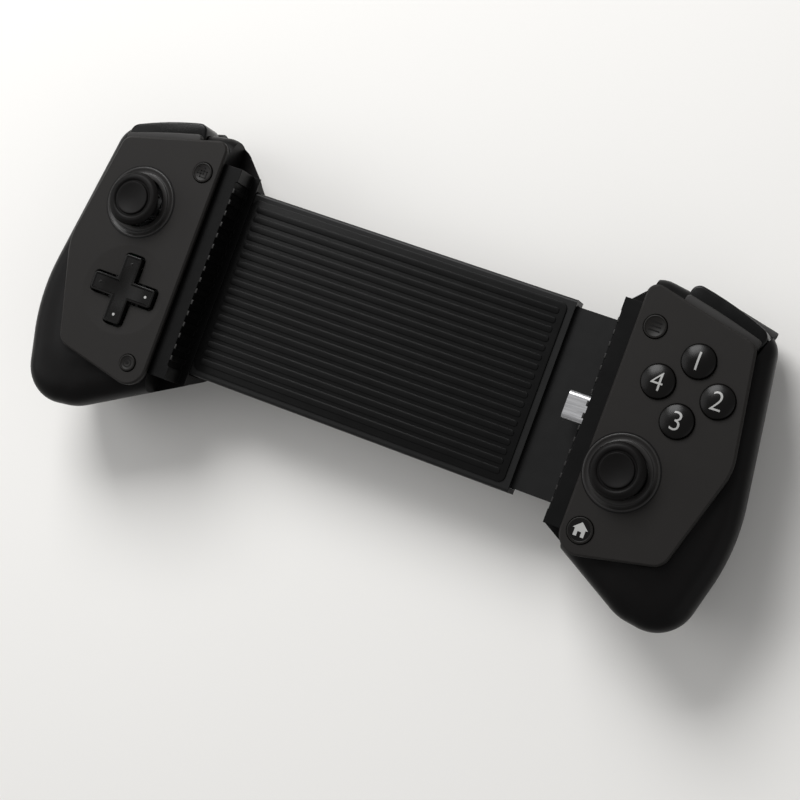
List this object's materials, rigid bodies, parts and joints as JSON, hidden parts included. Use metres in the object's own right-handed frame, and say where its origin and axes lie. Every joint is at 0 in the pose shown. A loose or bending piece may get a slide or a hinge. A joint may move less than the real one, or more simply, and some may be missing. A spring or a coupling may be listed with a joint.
{
  "type": "mobile game controller",
  "caption": "Telescopic phone game controller: two moulded grips with sticks, pad, buttons and triggers on a sprung sliding bridge that clamps a phone lengthways between them.",
  "frame": {"origin": "centre of the soft deck that the phone's back lies on", "axes": "+X from the left grip to the right grip, along the telescopic slide; +Y towards the bumpers; +Z out of the face, towards the player"},
  "size_m": [0.2232, 0.0948, 0.0424],
  "materials": {
    "shell_black": "satin, near-black moulded plastic",
    "faceplate_grey": "matt warm dark grey with a fine spark-eroded grain",
    "bumper_black": "semi-gloss black",
    "trigger_black": "satin black",
    "stick_rubber": "matt black rubber",
    "collar_black": "satin black ring",
    "button_black": "glossy black",
    "small_button_black": "satin black",
    "pad_rubber": "soft black rubber, ribbed where it clamps",
    "dome_rubber": "grey silicone",
    "bridge_black": "black coated sheet",
    "board_green": "solder-masked board",
    "flex_amber": "polyimide ribbon",
    "steel": "plain steel",
    "stick_nylon": "dark acetal",
    "plug_steel": "bright nickel-plated steel"
  },
  "bodies": {
    "left_grip": {"left_front_shell": "shell_black", "left_back_shell": "shell_black", "left_screws": "steel", "left_faceplate": "faceplate_grey", "left_circuit_board": "board_green", "left_stick_case": "stick_nylon", "left_stick_collar": "collar_black", "left_trigger_pin": "steel", "dpad_post": "stick_nylon", "dpad_mat": "dome_rubber", "left_key_switches": "dome_rubber", "bridge_channel": "bridge_black", "bridge_cover": "bridge_black", "deck_pad": "pad_rubber", "left_clamp_pad": "pad_rubber", "return_springs": "steel", "flex_cable": "flex_amber"},
    "right_grip": {"right_front_shell": "shell_black", "right_back_shell": "shell_black", "right_screws": "steel", "right_faceplate": "faceplate_grey", "right_circuit_board": "board_green", "right_stick_case": "stick_nylon", "right_stick_collar": "collar_black", "right_trigger_pin": "steel", "face_button_mat": "dome_rubber", "right_key_switches": "dome_rubber", "bridge_rail": "bridge_black", "right_clamp_pad": "pad_rubber", "charging_socket": "plug_steel"},
    "left_stick_press": {"left_stick_carrier": "stick_nylon"},
    "left_stick_rock": {"left_stick_gimbal": "stick_nylon"},
    "left_stick": {"left_stick_shaft": "stick_nylon", "left_stick_cap": "stick_rubber"},
    "left_bumper": {"left_bumper": "bumper_black"},
    "left_trigger": {"left_trigger": "trigger_black"},
    "right_stick_press": {"right_stick_carrier": "stick_nylon"},
    "right_stick_rock": {"right_stick_gimbal": "stick_nylon"},
    "right_stick": {"right_stick_shaft": "stick_nylon", "right_stick_cap": "stick_rubber"},
    "right_bumper": {"right_bumper": "bumper_black"},
    "right_trigger": {"right_trigger": "trigger_black"},
    "dpad_rock": {"dpad_gimbal": "stick_nylon"},
    "dpad": {"dpad": "button_black"},
    "face_button_1": {"face_button_1": "button_black"},
    "face_button_2": {"face_button_2": "button_black"},
    "face_button_3": {"face_button_3": "button_black"},
    "face_button_4": {"face_button_4": "button_black"},
    "share_button": {"share_button": "small_button_black"},
    "capture_button": {"capture_button": "small_button_black"},
    "menu_button": {"menu_button": "small_button_black"},
    "home_button": {"home_button": "small_button_black"},
    "plug": {"plug_boot": "pad_rubber", "phone_plug": "plug_steel"}
  },
  "joints": [
    {"name": "bridge_slide", "type": "slide", "parent": "left_grip", "child": "right_grip", "axis": [1, 0, 0], "range_m": [-0.0124, 0.0576], "stiffness_N_per_m": 60, "deforming": ["return_springs", "flex_cable"]},
    {"name": "left_stick_click", "type": "slide", "parent": "left_grip", "child": "left_stick_press", "axis": [0, 0, -1], "range_m": [0, 0.0005], "stiffness_N_per_m": 6000},
    {"name": "left_stick_up_down", "type": "hinge", "parent": "left_stick_press", "child": "left_stick_rock", "pos_m": [-0.0875, 0.01397, 0.0048], "axis": [1, 0, 0], "range_deg": [-14, 14], "stiffness_Nm_per_rad": 0.02},
    {"name": "left_stick_left_right", "type": "hinge", "parent": "left_stick_rock", "child": "left_stick", "pos_m": [-0.0875, 0.01397, 0.0048], "axis": [0, 1, 0], "range_deg": [-14, 14], "stiffness_Nm_per_rad": 0.02},
    {"name": "left_bumper_press", "type": "slide", "parent": "left_grip", "child": "left_bumper", "axis": [0.2354, -0.9719, 0], "range_m": [0, 0.001], "stiffness_N_per_m": 1500},
    {"name": "left_trigger_pull", "type": "hinge", "parent": "left_grip", "child": "left_trigger", "pos_m": [-0.08827, 0.03213, -0.005], "axis": [-0.9719, -0.2354, 0], "range_deg": [0, 15], "stiffness_Nm_per_rad": 0.08},
    {"name": "right_stick_click", "type": "slide", "parent": "right_grip", "child": "right_stick_press", "axis": [0, 0, -1], "range_m": [0, 0.0005], "stiffness_N_per_m": 6000},
    {"name": "right_stick_up_down", "type": "hinge", "parent": "right_stick_press", "child": "right_stick_rock", "pos_m": [0.0776, -0.01302, 0.0048], "axis": [1, 0, 0], "range_deg": [-14, 14], "stiffness_Nm_per_rad": 0.02},
    {"name": "right_stick_left_right", "type": "hinge", "parent": "right_stick_rock", "child": "right_stick", "pos_m": [0.0776, -0.01302, 0.0048], "axis": [0, 1, 0], "range_deg": [-14, 14], "stiffness_Nm_per_rad": 0.02},
    {"name": "right_bumper_press", "type": "slide", "parent": "right_grip", "child": "right_bumper", "axis": [-0.2354, -0.9719, 0], "range_m": [0, 0.001], "stiffness_N_per_m": 1500},
    {"name": "right_trigger_pull", "type": "hinge", "parent": "right_grip", "child": "right_trigger", "pos_m": [0.08827, 0.03213, -0.005], "axis": [-0.9719, 0.2354, 0], "range_deg": [0, 15], "stiffness_Nm_per_rad": 0.08},
    {"name": "dpad_up_down", "type": "hinge", "parent": "left_grip", "child": "dpad_rock", "pos_m": [-0.08252, -0.0123, 0.0084], "axis": [1, 0, 0], "range_deg": [-5, 5], "stiffness_Nm_per_rad": 0.1},
    {"name": "dpad_left_right", "type": "hinge", "parent": "dpad_rock", "child": "dpad", "pos_m": [-0.08252, -0.0123, 0.0084], "axis": [0, 1, 0], "range_deg": [-5, 5], "stiffness_Nm_per_rad": 0.1},
    {"name": "face_button_1_press", "type": "slide", "parent": "right_grip", "child": "face_button_1", "axis": [0, 0, -1], "range_m": [0, 0.0013], "stiffness_N_per_m": 900},
    {"name": "face_button_2_press", "type": "slide", "parent": "right_grip", "child": "face_button_2", "axis": [0, 0, -1], "range_m": [0, 0.0013], "stiffness_N_per_m": 900},
    {"name": "face_button_3_press", "type": "slide", "parent": "right_grip", "child": "face_button_3", "axis": [0, 0, -1], "range_m": [0, 0.0013], "stiffness_N_per_m": 900},
    {"name": "face_button_4_press", "type": "slide", "parent": "right_grip", "child": "face_button_4", "axis": [0, 0, -1], "range_m": [0, 0.0013], "stiffness_N_per_m": 900},
    {"name": "share_button_press", "type": "slide", "parent": "left_grip", "child": "share_button", "axis": [0, 0, -1], "range_m": [0, 0.0008], "stiffness_N_per_m": 1500},
    {"name": "capture_button_press", "type": "slide", "parent": "left_grip", "child": "capture_button", "axis": [0, 0, -1], "range_m": [0, 0.0008], "stiffness_N_per_m": 1500},
    {"name": "menu_button_press", "type": "slide", "parent": "right_grip", "child": "menu_button", "axis": [0, 0, -1], "range_m": [0, 0.0008], "stiffness_N_per_m": 1500},
    {"name": "home_button_press", "type": "slide", "parent": "right_grip", "child": "home_button", "axis": [0, 0, -1], "range_m": [0, 0.0008], "stiffness_N_per_m": 1500},
    {"name": "plug_swing", "type": "hinge", "parent": "right_grip", "child": "plug", "pos_m": [0.0634, 0, 0.00425], "axis": [0, 1, 0], "range_deg": [-10, 10], "stiffness_Nm_per_rad": 0.02}
  ]
}
